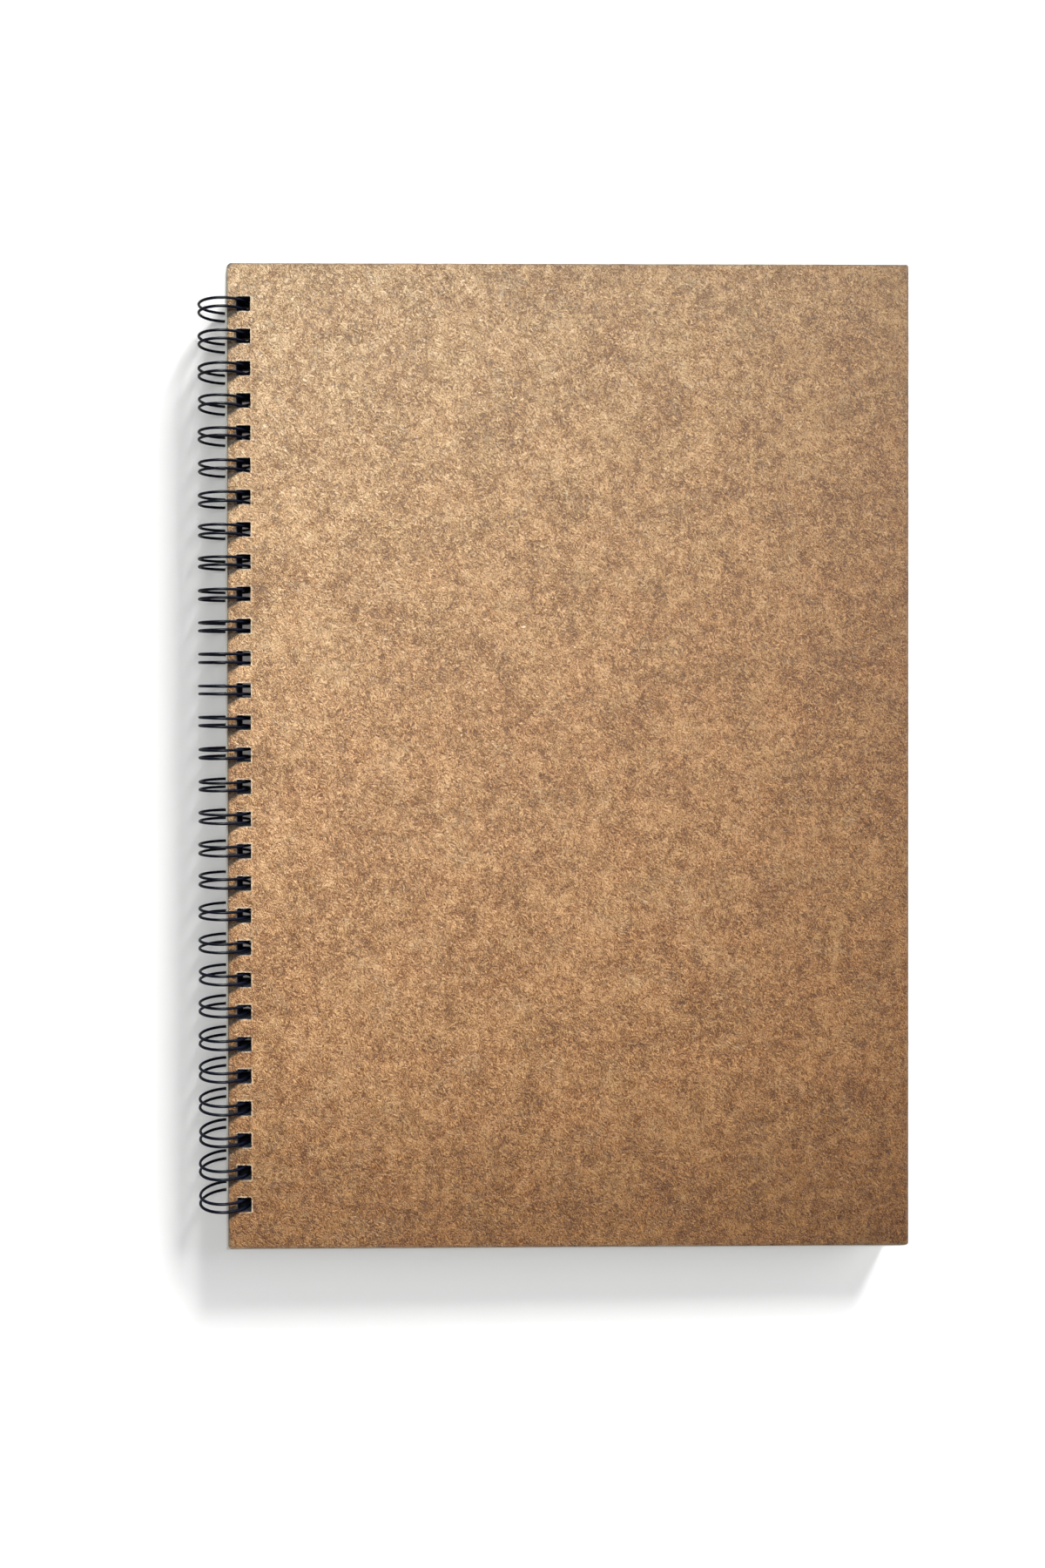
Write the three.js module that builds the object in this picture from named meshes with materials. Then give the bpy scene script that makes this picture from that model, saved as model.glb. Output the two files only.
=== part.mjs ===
// Sketchbook: kraft board covers and loose paper leaves on one twin-loop wire.
// Millimetres, +Z up. The closed book lies on its back: spine toward -X, fore edge toward +X,
// head of the page toward +Y. Each loop of the wire is centred on one line, the turning axis,
// that runs along Y inside the spine; every leaf and the front cover swing about it.
import * as THREE from 'three';

// ---- driving dimensions ----
const COVER_WIDTH = 180; // spine edge to fore edge
const COVER_HEIGHT = 259.5; // head to tail
const COVER_THICKNESS = 1.2;
const COVER_CORNER_RADIUS = 1.0;

const LEAF_COUNT = 24;
const LEAF_WIDTH = 180;
const LEAF_HEIGHT = 260;
const LEAF_THICKNESS = 0.3;
const LEAF_PAST_SPINE = 0.55; // the block stands this far past the covers at the spine
const LEAF_PAST_TAIL = 0.7; // and this far past them at the tail
const LEAF_DRIFT_X = 0.1; // largest sideways drift of one leaf on the wire
const LEAF_DRIFT_Y = 0.2; // largest drift of one leaf along the wire
const SHEET_GAP = 0.02; // air between neighbouring sheets

const HOLE_COUNT = 29;
const HOLE_PITCH = 25.4 / 3; // three holes to the inch
const HOLE_SIDE = 4;
const HOLE_CENTRE_FROM_SPINE = 4.5;
const FIRST_HOLE_FROM_HEAD = 10.6;

const WIRE_SIDE = 0.7; // square section, as much metal as 0.8 mm round wire
const LOOP_RADIUS = 6.835; // corners of the faceted loop; its mean radius is 6.75
const LOOP_AXIS_FROM_SPINE = -1.1; // the loop axis stands outside the covers' spine edge
const STRAND_SPACING = 2.2; // the two strands of one loop, centre to centre
const BASE_ANGLE = -85; // degrees from +X: the straight bridges between loops
const TIP_ANGLE = 265; // the closed tips of the loops, beside the bridges
const BASE_BEND_RADIUS = 0.8;
const LOOP_STEPS = 13; // straight facets in one strand
const TIP_STEPS = 4; // facets in the half-turn at a tip
const BEND_STEPS = 2; // facets in a base bend
const WIRE_END_STUB = 1.6; // cut end of the wire past the first and last strands

// where the turning axis stands in the finished part
const AXIS_X = -86.9584;
const AXIS_Z = 7.1882;
const COVER_MID_Y = 0.45;

// ---- derived ----
const STACK =
  2 * COVER_THICKNESS + LEAF_COUNT * LEAF_THICKNESS + (LEAF_COUNT + 1) * SHEET_GAP;
const SPINE_X = AXIS_X - LOOP_AXIS_FROM_SPINE; // covers' spine edge
const STACK_BOTTOM = AXIS_Z - STACK / 2;
const HEAD_Y = COVER_MID_Y + COVER_HEIGHT / 2;
const TAIL_Y = COVER_MID_Y - COVER_HEIGHT / 2;
const holeY = (i) => HEAD_Y - FIRST_HOLE_FROM_HEAD - i * HOLE_PITCH;

function rectangle(shape, x0, y0, x1, y1, radius) {
  if (!radius) {
    shape.moveTo(x0, y0);
    shape.lineTo(x1, y0);
    shape.lineTo(x1, y1);
    shape.lineTo(x0, y1);
    shape.closePath();
    return shape;
  }
  shape.moveTo(x0 + radius, y0);
  shape.lineTo(x1 - radius, y0);
  shape.absarc(x1 - radius, y0 + radius, radius, -Math.PI / 2, 0, false);
  shape.lineTo(x1, y1 - radius);
  shape.absarc(x1 - radius, y1 - radius, radius, 0, Math.PI / 2, false);
  shape.lineTo(x0 + radius, y1);
  shape.absarc(x0 + radius, y1 - radius, radius, Math.PI / 2, Math.PI, false);
  shape.lineTo(x0, y0 + radius);
  shape.absarc(x0 + radius, y0 + radius, radius, Math.PI, 1.5 * Math.PI, false);
  return shape;
}

// a punched sheet lying flat, its underside at z; dx and dy drift the whole sheet with its holes
function punchedSheet({ x0, x1, y0, y1, z, thickness, radius = 0, dx = 0, dy = 0 }) {
  const shape = rectangle(new THREE.Shape(), x0 + dx, y0 + dy, x1 + dx, y1 + dy, radius);
  const half = HOLE_SIDE / 2;
  const cx = SPINE_X + HOLE_CENTRE_FROM_SPINE + dx;
  for (let i = 0; i < HOLE_COUNT; i++) {
    const cy = holeY(i) + dy;
    const hole = new THREE.Path();
    hole.moveTo(cx - half, cy - half);
    hole.lineTo(cx - half, cy + half);
    hole.lineTo(cx + half, cy + half);
    hole.lineTo(cx + half, cy - half);
    hole.closePath();
    shape.holes.push(hole);
  }
  const sheet = new THREE.ExtrudeGeometry(shape, {
    depth: thickness,
    bevelEnabled: false,
    curveSegments: 3,
  });
  sheet.translate(0, 0, z);
  return sheet;
}

// ---- the wire ----
// One serpentine: up one strand of a loop, round its tip, down the other strand, along the bridge
// to the next loop. It is laid out flat as (angle round the loop, y) and rolled on to the loop.
function wireStations() {
  const flat = [];
  const half = STRAND_SPACING / 2;
  const perDegree = (LOOP_RADIUS * Math.PI) / 180;
  const bend = BASE_BEND_RADIUS / perDegree;
  const strandStart = BASE_ANGLE + bend;
  const strandEnd = TIP_ANGLE - half / perDegree;
  for (let i = 0; i < HOLE_COUNT; i++) {
    const y = holeY(i);
    if (i === 0) flat.push([BASE_ANGLE, y + half + WIRE_END_STUB]);
    for (let k = 0; k < BEND_STEPS; k++) {
      const a = ((k / BEND_STEPS) * Math.PI) / 2;
      flat.push([
        BASE_ANGLE + bend * (1 - Math.cos(a)),
        y + half + BASE_BEND_RADIUS * (1 - Math.sin(a)),
      ]);
    }
    for (let k = 0; k <= LOOP_STEPS; k++) {
      flat.push([strandStart + ((strandEnd - strandStart) * k) / LOOP_STEPS, y + half]);
    }
    for (let k = 1; k < TIP_STEPS; k++) {
      const a = (k / TIP_STEPS) * Math.PI;
      flat.push([strandEnd + (half / perDegree) * Math.sin(a), y + half * Math.cos(a)]);
    }
    for (let k = LOOP_STEPS; k >= 0; k--) {
      flat.push([strandStart + ((strandEnd - strandStart) * k) / LOOP_STEPS, y - half]);
    }
    for (let k = BEND_STEPS - 1; k >= 0; k--) {
      const a = ((k / BEND_STEPS) * Math.PI) / 2;
      flat.push([
        BASE_ANGLE + bend * (1 - Math.cos(a)),
        y - half - BASE_BEND_RADIUS * (1 - Math.sin(a)),
      ]);
    }
    if (i === HOLE_COUNT - 1) flat.push([BASE_ANGLE, y - half - WIRE_END_STUB]);
  }
  return flat.map(([deg, y]) => {
    const a = (deg * Math.PI) / 180;
    return {
      point: new THREE.Vector3(
        AXIS_X + LOOP_RADIUS * Math.cos(a),
        y,
        AXIS_Z + LOOP_RADIUS * Math.sin(a),
      ),
      outward: new THREE.Vector3(Math.cos(a), 0, Math.sin(a)),
    };
  });
}

// a curve that passes exactly through the stations, with the section square to the loop's radius
class WirePath extends THREE.Curve {
  constructor(stations) {
    super();
    this.stations = stations;
  }
  getPointAt(u) {
    return this.stations[Math.round(u * (this.stations.length - 1))].point.clone();
  }
  getPoint(t) {
    return this.getPointAt(t);
  }
  getSpacedPoints() {
    return this.stations.map((s) => s.point.clone());
  }
  computeFrenetFrames() {
    const s = this.stations;
    const tangents = [];
    const normals = [];
    const binormals = [];
    for (let i = 0; i < s.length; i++) {
      const t = new THREE.Vector3();
      if (i > 0) t.add(s[i].point.clone().sub(s[i - 1].point).normalize());
      if (i < s.length - 1) t.add(s[i + 1].point.clone().sub(s[i].point).normalize());
      t.normalize();
      const n = s[i].outward.clone();
      n.addScaledVector(t, -n.dot(t)).normalize();
      tangents.push(t);
      normals.push(n);
      binormals.push(new THREE.Vector3().crossVectors(t, n));
    }
    return { tangents, normals, binormals };
  }
}

function wireGeometry() {
  const stations = wireStations();
  const h = WIRE_SIDE / 2;
  const section = rectangle(new THREE.Shape(), -h, -h, h, h, 0);
  return new THREE.ExtrudeGeometry(section, {
    steps: stations.length - 1,
    bevelEnabled: false,
    extrudePath: new WirePath(stations),
  });
}

// ---- assembly ----
const book = new THREE.Group();
book.name = 'sketchbook';

function add(name, geometry, look) {
  const mesh = new THREE.Mesh(geometry, new THREE.MeshStandardMaterial(look));
  mesh.name = name;
  book.add(mesh);
}

const kraft = { color: 0xb08a5e, roughness: 0.92, metalness: 0 };
const paper = { color: 0xf2eee3, roughness: 0.95, metalness: 0 };
const lacquer = { color: 0x17181d, roughness: 0.28, metalness: 0.35 };

const cover = {
  x0: SPINE_X,
  x1: SPINE_X + COVER_WIDTH,
  y0: TAIL_Y,
  y1: HEAD_Y,
  thickness: COVER_THICKNESS,
  radius: COVER_CORNER_RADIUS,
};

add('back_cover', punchedSheet({ ...cover, z: STACK_BOTTOM }), kraft);
add('wire_binding', wireGeometry(), lacquer);

// leaf_01 lies under the front cover, the last leaf on the back cover
for (let k = LEAF_COUNT; k >= 1; k--) {
  const below = LEAF_COUNT - k;
  const x0 = SPINE_X - LEAF_PAST_SPINE;
  const y0 = TAIL_Y - LEAF_PAST_TAIL;
  add(
    `leaf_${String(k).padStart(2, '0')}`,
    punchedSheet({
      x0,
      x1: x0 + LEAF_WIDTH,
      y0,
      y1: y0 + LEAF_HEIGHT,
      z:
        STACK_BOTTOM + COVER_THICKNESS + SHEET_GAP + below * (LEAF_THICKNESS + SHEET_GAP),
      thickness: LEAF_THICKNESS,
      dx: LEAF_DRIFT_X * Math.sin(2.4 * k),
      dy: LEAF_DRIFT_Y * Math.sin(1.7 * k + 1),
    }),
    paper,
  );
}

add(
  'front_cover',
  punchedSheet({ ...cover, z: STACK_BOTTOM + STACK - COVER_THICKNESS }),
  kraft,
);

export default book;
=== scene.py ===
"""The looks of the sketchbook: kraft boards, paper leaves and a lacquered twin-loop wire."""

import math

import bmesh
import bpy
import numpy as np
from mathutils import Matrix, Vector, noise
from mathutils.geometry import delaunay_2d_cdt


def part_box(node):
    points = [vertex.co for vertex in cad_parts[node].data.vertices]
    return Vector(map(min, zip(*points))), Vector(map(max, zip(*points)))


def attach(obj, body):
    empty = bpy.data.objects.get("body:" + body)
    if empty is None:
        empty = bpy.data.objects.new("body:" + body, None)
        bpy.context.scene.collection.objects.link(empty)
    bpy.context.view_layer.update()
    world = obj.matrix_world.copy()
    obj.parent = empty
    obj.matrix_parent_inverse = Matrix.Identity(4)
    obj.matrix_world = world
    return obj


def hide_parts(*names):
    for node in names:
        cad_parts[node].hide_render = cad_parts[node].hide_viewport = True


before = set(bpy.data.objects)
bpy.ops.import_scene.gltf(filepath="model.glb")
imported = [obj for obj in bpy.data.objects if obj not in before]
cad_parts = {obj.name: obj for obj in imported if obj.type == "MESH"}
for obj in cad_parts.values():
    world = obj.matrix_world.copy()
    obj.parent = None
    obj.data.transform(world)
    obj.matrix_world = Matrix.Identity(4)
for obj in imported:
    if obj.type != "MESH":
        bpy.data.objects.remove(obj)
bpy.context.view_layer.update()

MM = 0.001
LEAVES = sorted(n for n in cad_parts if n.startswith("leaf_"))

# ---------------------------------------------------------------- where things are, in millimetres
cover_lo, cover_hi = (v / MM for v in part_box("front_cover"))
back_lo, back_hi = (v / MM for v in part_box("back_cover"))
SPINE = cover_lo.x
HEAD = cover_hi.y
TAIL = cover_lo.y
AXIS_X = SPINE - 1.1
AXIS_Z = (cover_hi.z + back_lo.z) / 2
COVER_LENGTH = HEAD - TAIL
COVER_MIDDLE_Y = (HEAD + TAIL) / 2
HOLES = 29
PITCH = 25.4 / 3
HOLE_SIDE = 4.0
HOLE_X = SPINE + 4.5
FIRST_HOLE = HEAD - 10.6


def hole_y(i):
    return FIRST_HOLE - i * PITCH


# ---------------------------------------------------------------- node helpers
class Nodes:
    def __init__(self, name):
        self.mat = bpy.data.materials.new(name)
        self.mat.use_nodes = True
        self.nt = self.mat.node_tree
        self.bsdf = self.nt.nodes["Principled BSDF"]

    def put(self, value, socket):
        if isinstance(value, bpy.types.NodeSocket):
            self.nt.links.new(value, socket)
        elif value is not None:
            if hasattr(socket.default_value, "__len__"):
                n = len(socket.default_value)
                value = tuple(value) if hasattr(value, "__len__") else (value,) * n
                socket.default_value = value if len(value) == n else (*value, 1.0)[:n]
            else:
                socket.default_value = value

    def node(self, kind, **settings):
        n = self.nt.nodes.new(kind)
        for k, v in settings.items():
            setattr(n, k, v)
        return n

    def coords(self):
        return self.node("ShaderNodeTexCoord").outputs["Object"]

    def normal(self):
        return self.node("ShaderNodeTexCoord").outputs["Normal"]

    def math(self, op, a, b=None, c=None, clamp=False):
        n = self.node("ShaderNodeMath", operation=op, use_clamp=clamp)
        for v, s in zip((a, b, c), n.inputs):
            self.put(v, s)
        return n.outputs[0]

    def vec(self, op, a, b=None, scale=None):
        n = self.node("ShaderNodeVectorMath", operation=op)
        self.put(a, n.inputs[0])
        if b is not None:
            self.put(b, n.inputs[1])
        if scale is not None:
            self.put(scale, n.inputs["Scale"])
        return n.outputs["Value"] if op in ("DOT_PRODUCT", "LENGTH", "DISTANCE") else n.outputs[0]

    def split(self, v):
        n = self.node("ShaderNodeSeparateXYZ")
        self.put(v, n.inputs[0])
        return n.outputs

    def mapping(self, v, scale=(1, 1, 1), rotation=(0, 0, 0), location=(0, 0, 0)):
        n = self.node("ShaderNodeMapping")
        self.put(v, n.inputs["Vector"])
        n.inputs["Scale"].default_value = scale
        n.inputs["Rotation"].default_value = rotation
        n.inputs["Location"].default_value = location
        return n.outputs[0]

    def noise(self, v, scale, detail=2.0, rough=0.5, lac=2.0, distortion=0.0, colour=False):
        n = self.node("ShaderNodeTexNoise", noise_dimensions="3D")
        self.put(v, n.inputs["Vector"])
        n.inputs["Scale"].default_value = scale
        n.inputs["Detail"].default_value = detail
        n.inputs["Roughness"].default_value = rough
        n.inputs["Lacunarity"].default_value = lac
        n.inputs["Distortion"].default_value = distortion
        return n.outputs["Color" if colour else "Fac"]

    def ramp(self, fac, stops, smooth=False):
        n = self.node("ShaderNodeValToRGB")
        n.color_ramp.interpolation = "EASE" if smooth else "LINEAR"
        el = n.color_ramp.elements
        while len(el) < len(stops):
            el.new(0.5)
        for e, (p, c) in zip(el, stops):
            e.position = p
            e.color = (*c, 1.0) if hasattr(c, "__len__") else (c, c, c, 1.0)
        self.put(fac, n.inputs[0])
        return n.outputs[0]

    def range(self, v, a, b, c=0.0, d=1.0, smooth=True):
        n = self.node("ShaderNodeMapRange", clamp=True)
        n.interpolation_type = "SMOOTHSTEP" if smooth else "LINEAR"
        self.put(v, n.inputs["Value"])
        for key, val in zip(("From Min", "From Max", "To Min", "To Max"), (a, b, c, d)):
            self.put(val, n.inputs[key])
        return n.outputs[0]

    def mix(self, fac, a, b, blend="MIX"):
        n = self.node("ShaderNodeMix", data_type="RGBA", blend_type=blend)
        n.clamp_factor = True
        self.put(fac, n.inputs[0])
        self.put(a, n.inputs[6])
        self.put(b, n.inputs[7])
        return n.outputs[2]

    def bump(self, height, strength, distance, normal=None):
        n = self.node("ShaderNodeBump")
        self.put(height, n.inputs["Height"])
        n.inputs["Strength"].default_value = strength
        n.inputs["Distance"].default_value = distance
        if normal is not None:
            self.put(normal, n.inputs["Normal"])
        return n.outputs[0]

    def attribute(self, name):
        return self.node("ShaderNodeAttribute", attribute_name=name).outputs["Fac"]

    def ridge(self, fac, width):
        """1 on the thin lines where a noise crosses its middle, falling to 0 at width."""
        d = self.math("ABSOLUTE", self.math("SUBTRACT", fac, 0.5))
        return self.range(d, 0.0, width, 1.0, 0.0, smooth=False)


# ---------------------------------------------------------------- kraft board
def kraft(name, front):
    """Recycled kraft board: short crossing fibres, cloudy pulp, a dark cut edge, painted shade in the punched
    holes.
    """
    m = Nodes(name)
    p = m.coords()
    # bend the fibres: a slow warp of the plane they are drawn in
    w = m.vec("SUBTRACT", m.noise(p, 420, 1.0, colour=True), (0.5, 0.5, 0.5))
    q = m.vec("ADD", p, m.vec("SCALE", w, scale=0.0016))

    def fibres(angle, seed, along, across, width, source):
        turned = m.mapping(source, rotation=(0, 0, math.radians(angle)), location=(seed, seed * 1.7, 0))
        squeezed = m.mapping(turned, scale=(along, across, 900))
        return m.ridge(m.noise(squeezed, 1.0, 1.0, 0.45), width)

    def crossing(kinds, width, seed):
        """Mean of several layers of fibres at different angles, 0 between them and up to 1 on them."""
        total = None
        for k, (a, along, across) in enumerate(kinds):
            f = fibres(a, seed + 0.19 * k, along, across, width, q)
            total = f if total is None else m.math("ADD", total, f)
        return m.math("DIVIDE", total, float(len(kinds)))

    light = crossing(((8, 350, 1750), (47, 390, 1950), (72, 330, 1700), (118, 380, 1900)), 0.080, 0.31)
    dark = crossing(((28, 370, 1800), (62, 400, 1950), (139, 360, 1850)), 0.080, 1.91)
    cloud = m.noise(p, 60, 3.0, 0.6)
    mottle = m.noise(q, 300, 2.0, 0.6)
    grain = m.noise(q, 2600, 1.0, 0.6)
    streak = m.noise(m.mapping(p, scale=(260, 40, 100)), 1.0, 2.0, 0.5)

    # how light the surface is, from 0 to 1 around a middle of one half
    def part(v, gain, middle=0.5):
        return m.math("MULTIPLY", m.math("SUBTRACT", v, middle), gain)

    v = m.math("ADD", 0.5, part(cloud, 0.78))
    v = m.math("ADD", v, part(mottle, 1.05))
    v = m.math("ADD", v, part(grain, 1.65))
    v = m.math("ADD", v, part(streak, 0.30))
    v = m.math("ADD", v, part(light, 1.12, LIGHT_MEAN))
    v = m.math("SUBTRACT", v, part(dark, 0.80, LIGHT_MEAN))
    # a few long pale fibres lying on top
    sparse = m.range(m.noise(p, 130, 1.0, 0.5), 0.60, 0.66)
    stray = m.math("MULTIPLY", fibres(76, 3.3, 210, 1500, 0.022, q), sparse)
    stray2 = m.math(
        "MULTIPLY",
        fibres(18, 5.1, 200, 1400, 0.022, q),
        m.range(m.noise(m.mapping(p, location=(0.7, 0.2, 0)), 120, 1.0, 0.5), 0.60, 0.66),
    )
    stray = m.math("MAXIMUM", stray, stray2)

    stops = (
        (0.0, (0.172, 0.060, 0.012)),
        (0.25, (0.300, 0.132, 0.038)),
        (0.5, (0.445, 0.223, 0.081)),
        (0.75, (0.597, 0.331, 0.142)),
        (1.0, (0.775, 0.470, 0.230)),
    )
    colour = m.ramp(v, stops)
    colour = m.mix(m.math("MULTIPLY", stray, 0.55), colour, (0.92, 0.72, 0.47))
    xyz = m.split(p)
    if front:
        # painted shade: darker and browner toward the fore edge and the tail
        drift = m.math("MULTIPLY", part(cloud, 1.0), 0.03)
        across = m.math("ADD", xyz[0], drift)
        down = m.math("SUBTRACT", drift, xyz[1])
        fore = m.ramp(m.range(across, -0.090, 0.100, smooth=False), [(t, shade_tint(f)) for t, f in PAINTED_SHADE_FORE])
        tail = m.ramp(m.range(down, -0.130, 0.135, smooth=False), [(t, shade_tint(f)) for t, f in PAINTED_SHADE_TAIL])
        colour = m.mix(1.0, m.mix(1.0, colour, fore, "MULTIPLY"), tail, "MULTIPLY")
        # painted glare toward the head of the spine, painted shade and a yellower colour toward the tail
        glare_to_shade = m.math("ADD", down, m.math("MULTIPLY", xyz[0], 0.30))
        colour = m.mix(1.0, colour, m.ramp(m.range(glare_to_shade, -0.156, 0.160, smooth=False), PAINTED_GLARE_AND_SHADE), "MULTIPLY")
    else:
        colour = m.mix(1.0, colour, (0.92, 0.91, 0.90), "MULTIPLY")
    # pulp of slightly different reds and yellows
    hue = m.noise(m.mapping(p, location=(0.4, 0.9, 0.2)), 85, 3.0, 0.6)
    colour = m.mix(1.0, colour, m.ramp(hue, ((0.32, (1.025, 0.993, 0.965)), (0.5, (1.0, 1.0, 1.0)), (0.68, (0.98, 1.003, 0.99)))), "MULTIPLY")

    edge = m.attribute("edge")
    wall = m.attribute("wall")
    # rubbed rims: a little paler where the board turns over, then the dark layered cut
    rim = m.math("MULTIPLY", m.range(edge, 0.2, 0.75), m.range(m.noise(p, 700, 2.0, 0.6), 0.38, 0.6))
    colour = m.mix(m.math("MULTIPLY", rim, 0.35), colour, (0.40, 0.25, 0.14))
    layers = m.noise(m.mapping(p, scale=(160, 160, 5200)), 1.0, 2.0, 0.6)
    cut = m.ramp(layers, ((0.3, (0.045, 0.027, 0.017)), (0.5, (0.11, 0.066, 0.038)), (0.72, (0.22, 0.14, 0.085))))
    colour = m.mix(wall, colour, cut)
    xyz = m.split(p)
    # the lips of the punched holes are burst open and pale; their walls are painted in near-black shade
    lip = m.math("MULTIPLY", m.attribute("lip"), m.range(m.noise(p, 1300, 2.0, 0.6), 0.35, 0.55))
    colour = m.mix(m.math("MULTIPLY", lip, 0.75), colour, (0.80, 0.66, 0.48))
    painted_hole_shade = m.math(
        "MULTIPLY",
        m.range(xyz[0], (HOLE_X - 2.7) * MM, (HOLE_X - 2.5) * MM),
        m.range(xyz[0], (HOLE_X + 2.5) * MM, (HOLE_X + 2.7) * MM, 1.0, 0.0),
    )
    painted_hole_shade = m.math("MULTIPLY", painted_hole_shade, m.math("LESS_THAN", m.math("ABSOLUTE", m.math("SUBTRACT", xyz[1], COVER_MIDDLE_Y * MM)), (COVER_LENGTH / 2 - 4) * MM))
    painted_hole_shade = m.math("MULTIPLY", painted_hole_shade, m.range(wall, 0.6, 0.95))
    colour = m.mix(m.math("MULTIPLY", painted_hole_shade, 0.92), colour, (0.005, 0.008, 0.026))
    if front:
        # the bumped corner at the head of the spine
        corner = m.vec("DISTANCE", p, (SPINE * MM + 0.0004, HEAD * MM - 0.0005, cover_hi.z * MM))
        bruise = m.math("MULTIPLY", m.range(corner, 0.0004, 0.0013, 1.0, 0.0), 0.85)
        colour = m.mix(bruise, colour, (0.03, 0.022, 0.018))
        # painted shadow of each loop of the wire on the margin between its hole and the spine, and between the
        # strands at the hole
        below = m.math("DIVIDE", m.math("SUBTRACT", (FIRST_HOLE + PITCH / 2) * MM, xyz[1]), PITCH * MM)
        below = m.math("MULTIPLY", m.math("SUBTRACT", m.math("FRACT", below), 0.5), PITCH)
        inside = m.math("DIVIDE", m.math("SUBTRACT", xyz[0], SPINE * MM), MM)
        ragged = m.math("ADD", below, part(m.noise(p, 900, 2.0, 0.6), 0.9))
        reach = m.math("SUBTRACT", 4.3, m.math("MULTIPLY", inside, 0.55))
        wedge = m.math(
            "MULTIPLY",
            m.range(m.math("SUBTRACT", reach, ragged), -0.15, 0.65),
            m.range(ragged, 0.30, 0.80),
        )
        throat = m.math("MULTIPLY", m.range(inside, 1.2, 2.5), m.range(m.math("ABSOLUTE", ragged), 1.45, 1.75, 1.0, 0.0))
        painted_wire_shadow = m.math("MAXIMUM", wedge, m.math("MULTIPLY", throat, 0.75))
        painted_wire_shadow = m.math("MULTIPLY", painted_wire_shadow, m.range(inside, 3.4, 4.2, 1.0, 0.0))
        painted_wire_shadow = m.math("MULTIPLY", painted_wire_shadow, m.math("LESS_THAN", xyz[1], (FIRST_HOLE + 3.0) * MM))
        painted_wire_shadow = m.math("MULTIPLY", painted_wire_shadow, m.math("GREATER_THAN", xyz[1], (hole_y(HOLES - 1) - 4.2) * MM))
        painted_wire_shadow = m.math("MULTIPLY", painted_wire_shadow, m.range(m.split(m.normal())[2], 0.5, 0.9))
        # the painted shadow of the wire, near black
        colour = m.mix(m.math("MULTIPLY", painted_wire_shadow, 0.86), colour, (0.022, 0.013, 0.010))
    m.put(colour, m.bsdf.inputs["Base Color"])
    rough = m.range(v, 0.2, 0.8, 0.52, 0.42, smooth=False)
    if front:
        # rougher in the painted wire shadow, so it holds no sheen
        rough = m.math("ADD", rough, m.math("MULTIPLY", painted_wire_shadow, 0.45))
    m.put(rough, m.bsdf.inputs["Roughness"])
    m.bsdf.inputs["Specular IOR Level"].default_value = 0.18
    m.bsdf.inputs["Sheen Weight"].default_value = 0.02
    m.bsdf.inputs["Sheen Roughness"].default_value = 0.5

    height = m.math("ADD", m.math("MULTIPLY", grain, 0.30), m.math("MULTIPLY", mottle, 0.7))
    height = m.math("ADD", height, m.math("MULTIPLY", light, 1.0))
    height = m.math("SUBTRACT", height, m.math("MULTIPLY", dark, 0.8))
    height = m.math("ADD", height, m.math("MULTIPLY", stray, 0.5))
    height = m.math("ADD", height, m.math("MULTIPLY", m.math("MULTIPLY", layers, wall), 0.8))
    m.put(m.bump(height, 1.0, 0.00017), m.bsdf.inputs["Normal"])
    return m.mat


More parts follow.
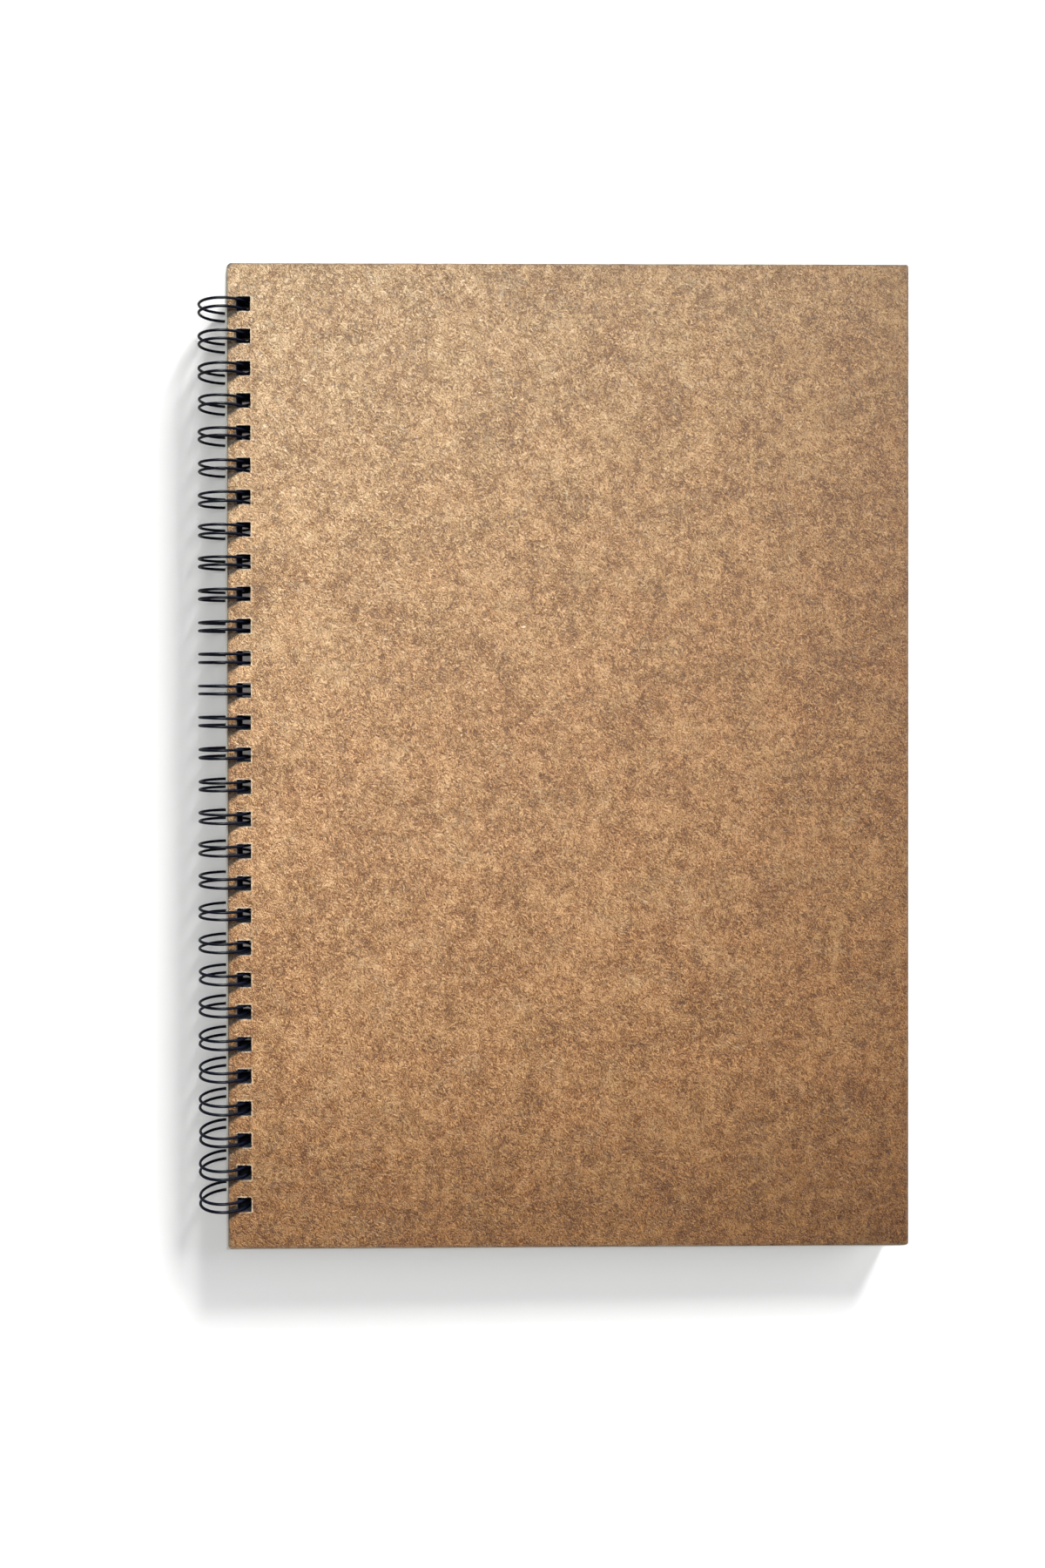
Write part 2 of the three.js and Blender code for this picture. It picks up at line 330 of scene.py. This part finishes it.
# ---------------------------------------------------------------- drawing paper
def paper():
    m = Nodes("drawing_paper")
    p = m.coords()
    tooth = m.noise(p, 1500, 4.0, 0.65)
    felt = m.noise(p, 430, 2.0, 0.5)
    cloud = m.noise(p, 30, 2.0, 0.5)
    leaf = m.noise(m.mapping(p, scale=(3, 3, 1400)), 1.0, 1.0)
    fleck = m.range(m.noise(m.mapping(p, scale=(900, 2600, 700), rotation=(0, 0, 0.5)), 1.0, 1.0), 0.70, 0.78)
    t = m.math("ADD", m.math("MULTIPLY", tooth, 0.4), m.math("MULTIPLY", felt, 0.25))
    t = m.math("ADD", t, m.math("MULTIPLY", cloud, 0.35))
    colour = m.ramp(t, ((0.3, (0.800, 0.775, 0.700)), (0.5, (0.845, 0.822, 0.752)), (0.7, (0.880, 0.862, 0.802))))
    colour = m.mix(m.range(leaf, 0.35, 0.65, 0.0, 0.35), colour, (0.78, 0.74, 0.65))
    colour = m.mix(m.math("MULTIPLY", fleck, 0.12), colour, (0.60, 0.54, 0.44))
    xyz = m.split(p)
    nrm = m.split(m.normal())
    side = m.range(m.math("ABSOLUTE", nrm[2]), 0.3, 0.6, 1.0, 0.0)
    # trimmed edge: slightly greyer, in fine knife strokes
    strokes = m.noise(m.mapping(p, scale=(2600, 2600, 300)), 1.0, 2.0, 0.6)
    colour = m.mix(m.math("MULTIPLY", side, m.range(strokes, 0.35, 0.65, 0.05, 0.35)), colour, (0.66, 0.63, 0.55))
    # painted shade on the fore edge and the head, with a dark line at every leaf
    painted_edge_shade = m.math("MULTIPLY", side, m.range(m.math("MAXIMUM", nrm[0], nrm[1]), 0.4, 0.7))
    lines = m.range(m.math("FRACT", m.math("DIVIDE", xyz[2], 0.32 * MM)), 0.0, 0.5, 0.35, 1.0, smooth=False)
    painted_edge_shade_colour = m.ramp(m.math("MULTIPLY", strokes, lines), ((0.12, (0.30, 0.28, 0.24)), (0.55, (0.47, 0.45, 0.395))))
    colour = m.mix(m.math("MULTIPLY", painted_edge_shade, 0.9), colour, painted_edge_shade_colour)
    # punched holes: their walls are painted in near-black shade
    in_hole = m.math(
        "MULTIPLY",
        m.range(xyz[0], (HOLE_X - 2.35) * MM, (HOLE_X - 2.15) * MM),
        m.range(xyz[0], (HOLE_X + 2.15) * MM, (HOLE_X + 2.35) * MM, 1.0, 0.0),
    )
    row = m.math(
        "MULTIPLY",
        m.math("LESS_THAN", xyz[1], (hole_y(0) + 2.6) * MM),
        m.math("GREATER_THAN", xyz[1], (hole_y(HOLES - 1) - 2.6) * MM),
    )
    # and so is the very rim of each hole
    step = m.math("DIVIDE", m.math("SUBTRACT", (FIRST_HOLE + PITCH / 2) * MM, xyz[1]), PITCH * MM)
    beside = m.math("ABSOLUTE", m.math("MULTIPLY", m.math("SUBTRACT", m.math("FRACT", step), 0.5), PITCH))
    rim = m.range(beside, 2.15, 2.35, 1.0, 0.0)
    paper_hole_shade = m.math("MULTIPLY", m.math("MULTIPLY", m.math("MAXIMUM", side, rim), in_hole), row)
    hole_shade_strength = m.range(m.noise(p, 900, 2.0, 0.6), 0.3, 0.6, 0.97, 1.0)
    # near-black painted shade in the holes
    colour = m.mix(m.math("MULTIPLY", paper_hole_shade, hole_shade_strength), colour, (0.0035, 0.0055, 0.020))
    m.put(colour, m.bsdf.inputs["Base Color"])
    m.put(m.range(tooth, 0.3, 0.7, 0.80, 0.92, smooth=False), m.bsdf.inputs["Roughness"])
    m.bsdf.inputs["Specular IOR Level"].default_value = 0.12
    height = m.math("ADD", m.math("MULTIPLY", tooth, 0.7), m.math("MULTIPLY", felt, 0.8))
    m.put(m.bump(height, 0.35, 0.00006), m.bsdf.inputs["Normal"])
    return m.mat


# ---------------------------------------------------------------- lacquered wire
def lacquer():
    m = Nodes("black_lacquer")
    p = m.coords()
    orange = m.noise(p, 2400, 2.0, 0.5)
    handling = m.noise(p, 260, 3.0, 0.6)
    scuff = m.range(m.noise(m.mapping(p, scale=(900, 900, 900)), 1.0, 4.0, 0.7), 0.62, 0.70)
    colour = m.ramp(handling, ((0.3, (0.0016, 0.0022, 0.0070)), (0.55, (0.0028, 0.0038, 0.0110)), (0.75, (0.0070, 0.0085, 0.0180))))
    colour = m.mix(m.math("MULTIPLY", scuff, 0.25), colour, (0.08, 0.085, 0.10))
    m.put(colour, m.bsdf.inputs["Base Color"])
    m.put(m.range(handling, 0.3, 0.7, 0.24, 0.38, smooth=False), m.bsdf.inputs["Roughness"])
    m.bsdf.inputs["Specular IOR Level"].default_value = 0.035
    m.put(m.bump(m.math("ADD", orange, m.math("MULTIPLY", scuff, 0.6)), 0.12, 0.00003), m.bsdf.inputs["Normal"])
    return m.mat


# painted shade: how much of its lightness the front board keeps, spine to fore edge, head to tail
LIGHT_MEAN = 0.36
PAINTED_SHADE_FORE = ((0.12, 1.0), (0.31, 0.95), (0.50, 0.89), (0.70, 0.82), (0.90, 0.69), (1.0, 0.57))
PAINTED_SHADE_TAIL = ((0.04, 0.97), (0.22, 1.0), (0.62, 1.0), (0.79, 0.93), (0.94, 0.66), (1.0, 0.56))


# and painted light: paler and greyer in a painted glare at the head of the spine, darker and warmer in painted
# shade toward the tail of the fore edge
PAINTED_GLARE_AND_SHADE = (
    (0.03, (1.07, 1.23, 1.45)),
    (0.25, (1.04, 1.10, 1.17)),
    (0.45, (0.985, 0.965, 0.965)),
    (0.62, (0.95, 0.92, 0.905)),
    (0.80, (0.93, 0.885, 0.84)),
    (1.0, (0.91, 0.885, 0.84)),
)


def shade_tint(f):
    """Painted shade takes more of the blue and the green than of the red."""
    return (f, f**1.24, f**1.70)


# ---------------------------------------------------------------- board mesh
def rounded_rect(x0, y0, x1, y1, radii, step, arc_steps):
    """Counter-clockwise closed outline; radii for the corners (x0,y0), (x1,y0), (x1,y1), (x0,y1)."""
    pts = []
    corners = (
        (x0, y0, 1, 1, 180, radii[0]),
        (x1, y0, -1, 1, 270, radii[1]),
        (x1, y1, -1, -1, 0, radii[2]),
        (x0, y1, 1, -1, 90, radii[3]),
    )
    arcs = []
    for cx, cy, sx, sy, start, r in corners:
        ox, oy = cx + sx * r, cy + sy * r
        arcs.append(
            [
                (ox + r * math.cos(math.radians(start + 90 * k / arc_steps)), oy + r * math.sin(math.radians(start + 90 * k / arc_steps)))
                for k in range(arc_steps + 1)
            ]
        )
    for k, arc in enumerate(arcs):
        pts += arc
        a, b = Vector(arc[-1]), Vector(arcs[(k + 1) % 4][0])
        n = max(1, round((b - a).length / step))
        pts += [tuple(a.lerp(b, t / n)) for t in range(1, n)]
    return pts


def outward(loop):
    """Unit normals that point away from the material, for a loop with the material on its left."""
    p = np.array(loop)
    t = np.roll(p, -1, 0) - np.roll(p, 1, 0)
    t /= np.linalg.norm(t, axis=1)[:, None]
    return np.stack([t[:, 1], -t[:, 0]], 1)


def inside(c, outline):
    """Whether a point lies inside a closed outline, by counting the sides to its right."""
    hit = False
    for (x0, y0), (x1, y1) in zip(outline, outline[1:] + outline[:1]):
        if (y0 > c.y) != (y1 > c.y) and c.x < x0 + (c.y - y0) / (y1 - y0) * (x1 - x0):
            hit = not hit
    return hit


def fbm(x, y, z, octaves=3):
    total, amp = 0.0, 1.0
    for _ in range(octaves):
        total += amp * noise.noise((x, y, z))
        x, y, z, amp = x * 2.03, y * 2.03, z * 2.03, amp * 0.5
    return total


def board(name, lo, hi, seed, corner_radii, top_up):
    """A die-cut board with 29 square holes: rounded and slightly crushed rims, pressed hole lips,
    edges that wander by a few hundredths of a millimetre. Closed mesh, in metres."""
    rng = np.random.default_rng(seed)
    bevel, hole_bevel = 0.27, 0.10
    outer = rounded_rect(lo.x, lo.y, hi.x, hi.y, corner_radii, 1.5, 7)
    loops = [(outer, bevel, True)]
    half = HOLE_SIDE / 2
    for i in range(HOLES):
        y = hole_y(i)
        h = rounded_rect(HOLE_X - half, y - half, HOLE_X + half - 0.35, y + half - 0.28, (0.14,) * 4, 0.45, 4)
        loops.append((h[::-1], hole_bevel, False))

    zt, zb = hi.z, lo.z
    sides = []
    for k, (loop, b, is_outer) in enumerate(loops):
        p = np.array(loop)
        n = outward(loop)
        wander = np.array([fbm(x * 0.35, y * 0.35, seed + 3.1, 3) for x, y in loop])
        # never past the nominal outline outside, never into the wire's room inside
        p = p - n * (0.035 + 0.05 * wander)[:, None].clip(0.0, 0.12)
        sides.append((p, n, b, is_outer))

    def height(x, y, top):
        d_out = min(x - lo.x, hi.x - x, y - lo.y, hi.y - y)
        z = 0.035 * fbm(x * 0.03, y * 0.03, seed, 2) + 0.012 * fbm(x * 0.25, y * 0.25, seed + 9.0, 2)
        z *= 1.0 - math.exp(-((d_out / 3.0) ** 2))
        i = min(max(round((FIRST_HOLE - y) / PITCH), 0), HOLES - 1)
        dx = max(abs(x - HOLE_X) - half, 0.0)
        dy = max(abs(y - hole_y(i)) - half, 0.0)
        z -= 0.075 * math.exp(-((dx * dx + dy * dy) / 0.36))
        return z if top else 0.0

    verts, faces, edge_v, wall_v, lip_v = [], [], [], [], []

    def add(x, y, z, e, w, lip=0.0):
        verts.append((x, y, z))
        edge_v.append(e)
        wall_v.append(w)
        lip_v.append(lip)
        return len(verts) - 1

    # rings down the side of each loop, from the rim on one face to the rim on the other
    arc = [(1 - math.sin(a), 1 - math.cos(a)) for a in (0.0, 0.45, 0.95, math.pi / 2)]
    profile = [(d, zt, -u, 1 - k * 0.0, min(1.0, (k / 3) ** 2)) for k, (d, u) in enumerate(arc)]
    top_rings, bottom_rings = [], []
    for k, (p, n, b, is_outer) in enumerate(sides):
        rings = []
        walls = (0.40, 0.85, 1.0, 1.0) if is_outer else (0.0, 0.05, 0.6, 1.0)
        lips = (0.0,) * 4 if is_outer else (0.8, 1.0, 0.7, 0.0)
        for kk, (d, u) in enumerate(arc):
            q = p - n * (b * d)
            sag = [height(x, y, True) * (1 if top_up else 0) for x, y in q] if kk == 0 else [height(x, y, True) * (1 if top_up else 0) * (1 - kk / 3) for x, y in q]
            rings.append([add(x, y, zt - b * u + s, 1.0 if kk else 0.85, walls[kk], lips[kk]) for (x, y), s in zip(q, sag)])
        mid = p - n * (0.02 + 0.02 * rng.standard_normal(len(p))).clip(0, 0.06)[:, None]
        for t in (0.33, 0.66):
            rings.append([add(x, y, zt - b + (zb + b - (zt - b)) * t, 1.0, 1.0) for x, y in mid])
        for kk, (d, u) in reversed(list(enumerate(arc))):
            q = p - n * (b * d)
            sag = [0.0] * len(q) if top_up else [height(x, y, True) * (1 - kk / 3) for x, y in q]
            rings.append([add(x, y, zb + b * u - s, 1.0 if kk else 0.85, walls[kk], lips[kk]) for (x, y), s in zip(q, sag)])
        for r0, r1 in zip(rings, rings[1:]):
            m = len(r0)
            for j in range(m):
                a, b2 = r0[j], r0[(j + 1) % m]
                c, d2 = r1[(j + 1) % m], r1[j]
                faces.append((a, d2, c, b2))
        top_rings.append(rings[0])
        bottom_rings.append(rings[-1])

    # interior points: a close row round every loop, then a jittered grid
    pts = []
    for p, n, b, is_outer in sides:
        q = p - n * (b + (0.7 if is_outer else 0.45))
        pts += [tuple(v) for v in q[:: (1 if is_outer else 2)]]
    nx, ny = int((hi.x - lo.x - 4) / 3.0), int((hi.y - lo.y - 4) / 3.0)
    for ix in range(nx + 1):
        for iy in range(ny + 1):
            x = lo.x + 2.2 + ix * (hi.x - lo.x - 4.4) / nx + rng.uniform(-0.7, 0.7) * (0 < ix < nx)
            y = lo.y + 2.2 + iy * (hi.y - lo.y - 4.4) / ny + rng.uniform(-0.7, 0.7) * (0 < iy < ny)
            i = min(max(round((FIRST_HOLE - y) / PITCH), 0), HOLES - 1)
            if abs(x - HOLE_X) < half + 1.1 and abs(y - hole_y(i)) < half + 1.1:
                continue
            pts.append((x, y))

    for which, rings, z0, sign in ((True, top_rings, zt, 1), (False, bottom_rings, zb, -1)):
        curved = which == top_up
        ids, coords, edges = [], [], []
        for r in rings:
            s = len(coords)
            coords += [Vector(verts[v][:2]) for v in r]
            ids += r
            edges += [(s + j, s + (j + 1) % len(r)) for j in range(len(r))]
        near = len(coords)
        for x, y in pts:
            ids.append(add(x, y, z0 + sign * (height(x, y, True) if curved else 0.0), 0.0, 0.0))
            coords.append(Vector((x, y)))
        out_v, _, out_f, orig, _, _ = delaunay_2d_cdt(coords, edges, [], 0, 1e-6)
        back = [o[0] if o else None for o in orig]
        outlines = [[verts[v][:2] for v in r] for r in rings]
        for f in out_f:
            if any(back[v] is None for v in f):
                continue
            c = sum((out_v[v] for v in f), Vector((0, 0))) / len(f)
            near_rim = min(c.x - lo.x, hi.x - c.x, c.y - lo.y, hi.y - c.y) < 1.6
            if near_rim and not inside(c, outlines[0]):
                continue
            i = min(max(round((FIRST_HOLE - c.y) / PITCH), 0), HOLES - 1)
            if abs(c.x - HOLE_X) < half + 0.5 and abs(c.y - hole_y(i)) < half + 0.5 and inside(c, outlines[i + 1]):
                continue
            tri = [ids[back[v]] for v in f]
            a, b2, c2 = (Vector(verts[t][:2]) for t in tri[:3])
            ccw = (b2 - a).cross(c2 - a) > 0
            if ccw != (sign > 0):
                tri.reverse()
            faces.append(tuple(tri))

    mesh = bpy.data.meshes.new(name)
    mesh.from_pydata([(x * MM, y * MM, z * MM) for x, y, z in verts], [], faces)
    for key, values in (("edge", edge_v), ("wall", wall_v), ("lip", lip_v)):
        mesh.attributes.new(key, "FLOAT", "POINT").data.foreach_set("value", np.array(values, np.float32))
    bm = bmesh.new()
    bm.from_mesh(mesh)
    bmesh.ops.delete(bm, geom=[v for v in bm.verts if not v.link_faces], context="VERTS")
    bmesh.ops.recalc_face_normals(bm, faces=bm.faces)
    open_edges = sum(1 for e in bm.edges if len(e.link_faces) != 2)
    print(name, "vertices", len(bm.verts), "faces", len(bm.faces), "open edges", open_edges)
    bm.to_mesh(mesh)
    bm.free()
    mesh.shade_smooth()
    obj = bpy.data.objects.new(name, mesh)
    bpy.context.scene.collection.objects.link(obj)
    return obj


# ---------------------------------------------------------------- wire mesh
def wire(name, radius=0.37, sides=12):
    """One continuous round wire: hairpin loops joined by straight bridges at the seam."""
    rng = np.random.default_rng(29)
    loop_r, half, bend_r, base, tip = 6.75, 1.1, 0.8, -85.0, 265.0
    per = loop_r * math.pi / 180
    bend, start, end = bend_r / per, base + bend_r / per, tip - half / per
    flat = []  # angle, y, loop number, how far along the hairpin (0 base, 1 tip)
    for i in range(HOLES):
        y = hole_y(i)
        if i == 0:
            flat.append((base, y + half + 1.6, i))
        for k in range(7):
            a = k / 7 * math.pi / 2
            flat.append((base + bend * (1 - math.cos(a)), y + half + bend_r * (1 - math.sin(a)), i))
        for k in range(53):
            flat.append((start + (end - start) * k / 52, y + half, i))
        for k in range(1, 12):
            a = k / 12 * math.pi
            flat.append((end + half / per * math.sin(a), y + half * math.cos(a), i))
        for k in range(52, -1, -1):
            flat.append((start + (end - start) * k / 52, y - half, i))
        for k in range(6, -1, -1):
            a = k / 7 * math.pi / 2
            flat.append((base + bend * (1 - math.cos(a)), y - half - bend_r * (1 - math.sin(a)), i))
        if i == HOLES - 1:
            flat.append((base, y - half - 1.6, i))
    slip = rng.normal(0, 0.05, HOLES)
    slip[:8] -= 0.20
    slip[8:12] -= 0.10
    slip[-3:] = (-0.08, -0.20, -0.33)
    lean = rng.normal(0, 0.09, HOLES)
    swell = rng.normal(0, 0.05, HOLES).clip(-0.1, 0.05)
    pinch = rng.normal(0, 0.05, HOLES)
    twist = rng.normal(0, 0.6, HOLES)
    pts, outs = [], []
    for deg, y, i in flat:
        u = (deg - base) / (tip - base)
        mid = math.sin(math.pi * min(max(u, 0.0), 1.0))
        yc = hole_y(i)
        away = y - yc
        if abs(away) <= half + 1e-6:
            away *= 1.0 + (pinch[i] - 0.02) * mid
        yy = yc + away + slip[i] * min(1.0, 0.25 + mid) + lean[i] * math.sin(2 * math.pi * u) * mid
        if abs(y - yc) <= half + 1e-6:
            # a strand never leaves the room that every hole gives it
            yy = yc + min(max(yy - yc, -1.40), 1.32)
        a = math.radians(deg + twist[i] * mid)
        r = loop_r + swell[i] * mid + 0.30 * max(0.0, -math.cos(a)) ** 2
        pts.append(Vector((AXIS_X + r * math.cos(a), yy, AXIS_Z + r * math.sin(a))))
        outs.append(Vector((math.cos(a), 0, math.sin(a))))
    verts, faces = [], []
    count = len(pts)
    for k, (c, o) in enumerate(zip(pts, outs)):
        t = (pts[min(k + 1, count - 1)] - pts[max(k - 1, 0)]).normalized()
        n = (o - t * o.dot(t)).normalized()
        b = t.cross(n)
        for s in range(sides):
            a = 2 * math.pi * s / sides
            verts.append((c + (n * math.cos(a) + b * math.sin(a)) * radius) * MM)
    for k in range(count - 1):
        for s in range(sides):
            a, b2 = k * sides + s, k * sides + (s + 1) % sides
            faces.append((a, b2, b2 + sides, a + sides))
    # cut ends, slightly domed
    for k, sign in ((0, -1), (count - 1, 1)):
        t = (pts[1] - pts[0] if k == 0 else pts[-1] - pts[-2]).normalized()
        ring = [k * sides + s for s in range(sides)]
        inner = []
        for s in range(sides):
            v = Vector(verts[ring[s]]) / MM
            v = pts[k] + (v - pts[k]) * 0.72 + t * sign * 0.10
            verts.append(v * MM)
            inner.append(len(verts) - 1)
        verts.append((pts[k] + t * sign * 0.13) * MM)
        centre = len(verts) - 1
        for s in range(sides):
            s2 = (s + 1) % sides
            faces.append((ring[s], ring[s2], inner[s2], inner[s]))
            faces.append((inner[s], inner[s2], centre))
    mesh = bpy.data.meshes.new(name)
    mesh.from_pydata(verts, [], faces)
    bm = bmesh.new()
    bm.from_mesh(mesh)
    bmesh.ops.recalc_face_normals(bm, faces=bm.faces)
    bm.to_mesh(mesh)
    bm.free()
    mesh.shade_smooth()
    obj = bpy.data.objects.new(name, mesh)
    bpy.context.scene.collection.objects.link(obj)
    return obj


# ---------------------------------------------------------------- the object
front = board("front_board", cover_lo, cover_hi, 3, (0.9, 0.9, 0.9, 1.3), True)
front.data.materials.append(kraft("kraft_front", True))
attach(front, "front_cover")
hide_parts("front_cover")

back = board("back_board", back_lo, back_hi, 11, (0.9, 0.9, 0.9, 0.9), False)
back.data.materials.append(kraft("kraft_back", False))
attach(back, "back_cover")
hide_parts("back_cover")

loops = wire("twin_loop_wire")
loops.data.materials.append(lacquer())
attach(loops, "wire_binding")
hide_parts("wire_binding")

sheet = paper()
for n in LEAVES:
    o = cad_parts[n]
    if not o.material_slots:
        o.data.materials.append(sheet)
    for s in o.material_slots:
        s.material = sheet

# ---------------------------------------------------------------- floor
# The surface under the book. It falls very slightly toward the line of the wire, which stands
# deeper than the boards, so that the shut book rests on the wire and on its fore edge.
rest_x = cover_hi.x
slope = back_lo.z / (rest_x - AXIS_X)


def floor_z(x):
    u = abs(x - AXIS_X)
    soft = 12.0
    z = slope * (math.sqrt(u * u + soft * soft) - soft)
    limit = slope * 210.0
    return min(z, limit) - 0.03


def floor():
    xs = sorted(set([AXIS_X + s * d for s in (-1, 1) for d in (0, 3, 6, 10, 15, 22, 30, 50, 90, 140, 181, 200, 222, 260, 400, 900, 2500, 6000)]))
    ys = [-6000, -2500, -900, -400, -200, -100, 0, 100, 200, 400, 900, 2500, 6000]
    verts = [(x * MM, y * MM, floor_z(x) * MM) for x in xs for y in ys]
    n = len(ys)
    faces = [(i * n + j, (i + 1) * n + j, (i + 1) * n + j + 1, i * n + j + 1) for i in range(len(xs) - 1) for j in range(n - 1)]
    mesh = bpy.data.meshes.new("floor")
    mesh.from_pydata(verts, [], faces)
    mesh.shade_smooth()
    o = bpy.data.objects.new("floor", mesh)
    bpy.context.scene.collection.objects.link(o)
    m = Nodes("pale_floor")
    p = m.coords()
    grain = m.noise(p, 600, 3.0, 0.6)
    m.put(m.ramp(grain, ((0.3, (0.90, 0.90, 0.90)), (0.7, (0.92, 0.92, 0.92)))), m.bsdf.inputs["Base Color"])
    m.bsdf.inputs["Roughness"].default_value = 0.9
    m.bsdf.inputs["Specular IOR Level"].default_value = 0.1
    m.bsdf.inputs["Emission Color"].default_value = (1, 1, 1, 1)
    m.bsdf.inputs["Emission Strength"].default_value = FLOOR_GLOW
    mesh.materials.append(m.mat)
    return o


FLOOR_GLOW = 0.10
floor()

# ---------------------------------------------------------------- light
world = bpy.data.worlds.new("studio")
bpy.context.scene.world = world
world.use_nodes = True
wn = world.node_tree
bg = wn.nodes["Background"]
tc = wn.nodes.new("ShaderNodeTexCoord")
sep = wn.nodes.new("ShaderNodeSeparateXYZ")
wn.links.new(tc.outputs["Generated"], sep.inputs[0])
mr = wn.nodes.new("ShaderNodeMapRange")
mr.interpolation_type = "SMOOTHSTEP"
mr.inputs["From Min"].default_value = 0.12
mr.inputs["From Max"].default_value = 0.45
mr.inputs["To Min"].default_value = 1.05
mr.inputs["To Max"].default_value = 0.25
wn.links.new(sep.outputs[2], mr.inputs["Value"])
wn.links.new(mr.outputs[0], bg.inputs["Strength"])
bg.inputs["Color"].default_value = (1.0, 1.0, 1.0, 1.0)


def aim(o, at, to):
    o.location = Vector(at)
    o.rotation_mode = "QUATERNION"
    o.rotation_quaternion = (Vector(to) - Vector(at)).to_track_quat("-Z", "Y")
    bpy.context.scene.collection.objects.link(o)


def sun(name, direction, strength, angle, colour=(1, 1, 1)):
    d = bpy.data.lights.new(name, "SUN")
    d.energy = strength
    d.angle = math.radians(angle)
    d.color = colour
    aim(bpy.data.objects.new(name, d), direction, (0, 0, 0))


def panel(name, at, to, size, power, colour=(1, 1, 1)):
    d = bpy.data.lights.new(name, "AREA")
    d.shape = "RECTANGLE"
    d.size, d.size_y = size
    d.energy = power
    d.color = colour
    o = bpy.data.objects.new(name, d)
    aim(o, at, to)
    o.visible_camera = False
    return o


def low_sun(name, azimuth, elevation, level, angle, colour=(1, 1, 1)):
    """A sun that lights a level white surface to this share of full white."""
    a, e = math.radians(azimuth), math.radians(elevation)
    sun(name, (math.cos(a) * math.cos(e), math.sin(a) * math.cos(e), math.sin(e)), level * math.pi / math.sin(e), angle, colour)


low_sun("key", 66.0, 22.5, 0.50, 12.0, (1.0, 0.995, 0.985))
low_sun("second", 26.0, 22.0, 0.21, 30.0)
# a soft box overhead, toward the head of the spine
panel("overhead", (-0.14, 0.12, 0.75), (-0.03, 0.02, 0.0), (0.5, 0.5), 1.15)
# a small panel whose glare lies on the front board near the head of the spine
glare = panel("glare", (-0.155, 0.300, 0.50), (-0.078, 0.124, 0.012), (0.20, 0.20), 32.0, (0.90, 1.0, 0.92))
glare.visible_diffuse = False

# ---------------------------------------------------------------- camera
cam_data = bpy.data.cameras.new("camera")
cam = bpy.data.objects.new("camera", cam_data)
bpy.context.scene.collection.objects.link(cam)
cam_data.sensor_fit = "AUTO"
cam_data.sensor_width = 36.0
cam_data.lens = 26.256
cam_data.shift_x = 0.0556
cam_data.shift_y = -0.0611
cam_data.clip_start = 0.01
cam_data.clip_end = 50.0
cam.location = (-0.03407, 0.01935, 0.31337)
cam.rotation_mode = "XYZ"
cam.rotation_euler = tuple(math.radians(a) for a in (-0.1842, -0.5619, -0.0604))
bpy.context.scene.camera = cam

bpy.context.scene.view_settings.view_transform = "Standard"
bpy.context.scene.view_settings.look = "None"
